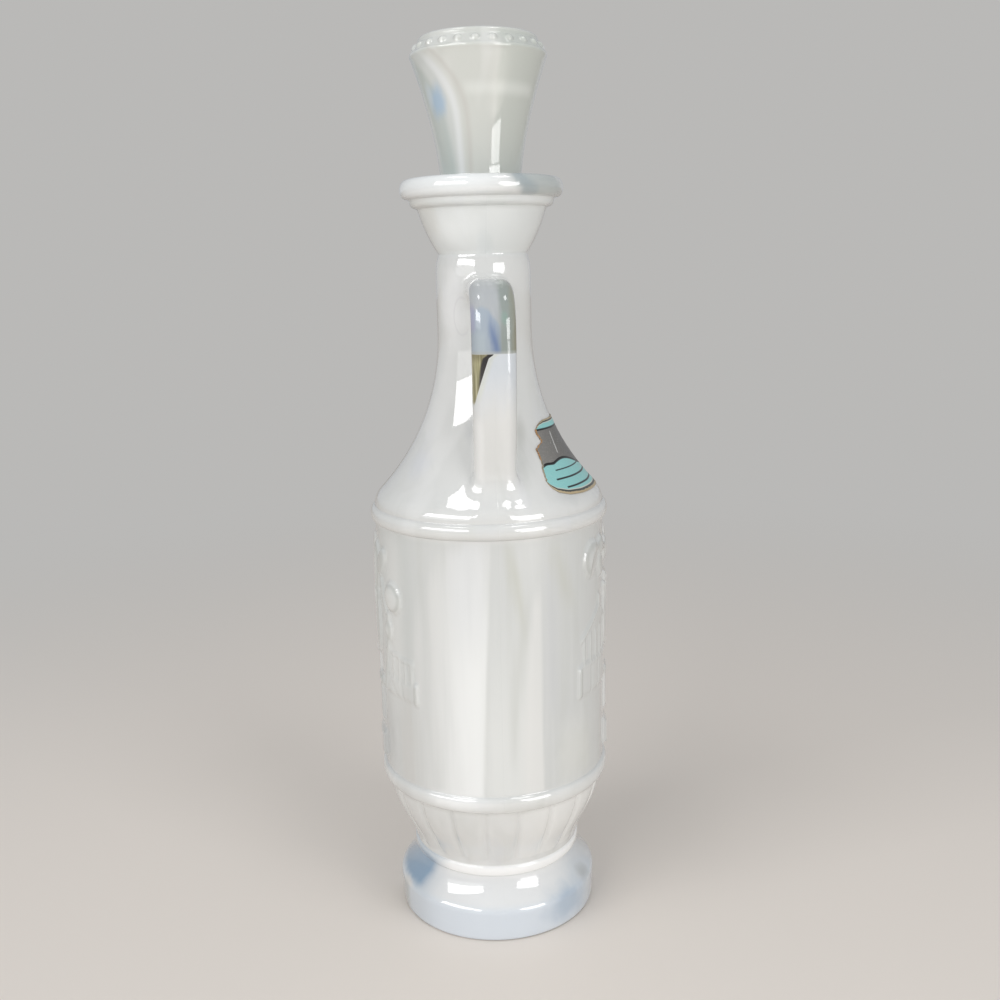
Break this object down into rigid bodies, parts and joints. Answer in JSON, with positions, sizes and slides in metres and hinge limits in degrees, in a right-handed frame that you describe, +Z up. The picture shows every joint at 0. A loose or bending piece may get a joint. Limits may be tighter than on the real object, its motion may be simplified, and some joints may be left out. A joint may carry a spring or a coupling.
{
  "type": "decanter",
  "caption": "Pressed slag-glass decanter with fluted foot, relief barrel, strap handle and a flared stopper on a cork sleeve that lifts out.",
  "frame": {"origin": "on the bottle's axis, in the plane of the table that the foot stands on", "axes": "+Z up along the bottle's axis; the strap handle reaches towards -Y; the label on the shoulder faces +X"},
  "size_m": [0.0918, 0.0918, 0.3353],
  "materials": {
    "slag_glass": "gloss",
    "foil": "satin",
    "cork": "matte"
  },
  "bodies": {
    "bottle": {"glass_bottle": "slag_glass", "foil_label": "foil"},
    "stopper": {"glass_stopper": "slag_glass", "cork_sleeve": "cork"}
  },
  "joints": [
    {"name": "stopper_lift", "type": "slide", "parent": "bottle", "child": "stopper", "axis": [0, 0, 1], "range_m": [0, 0.06]}
  ]
}
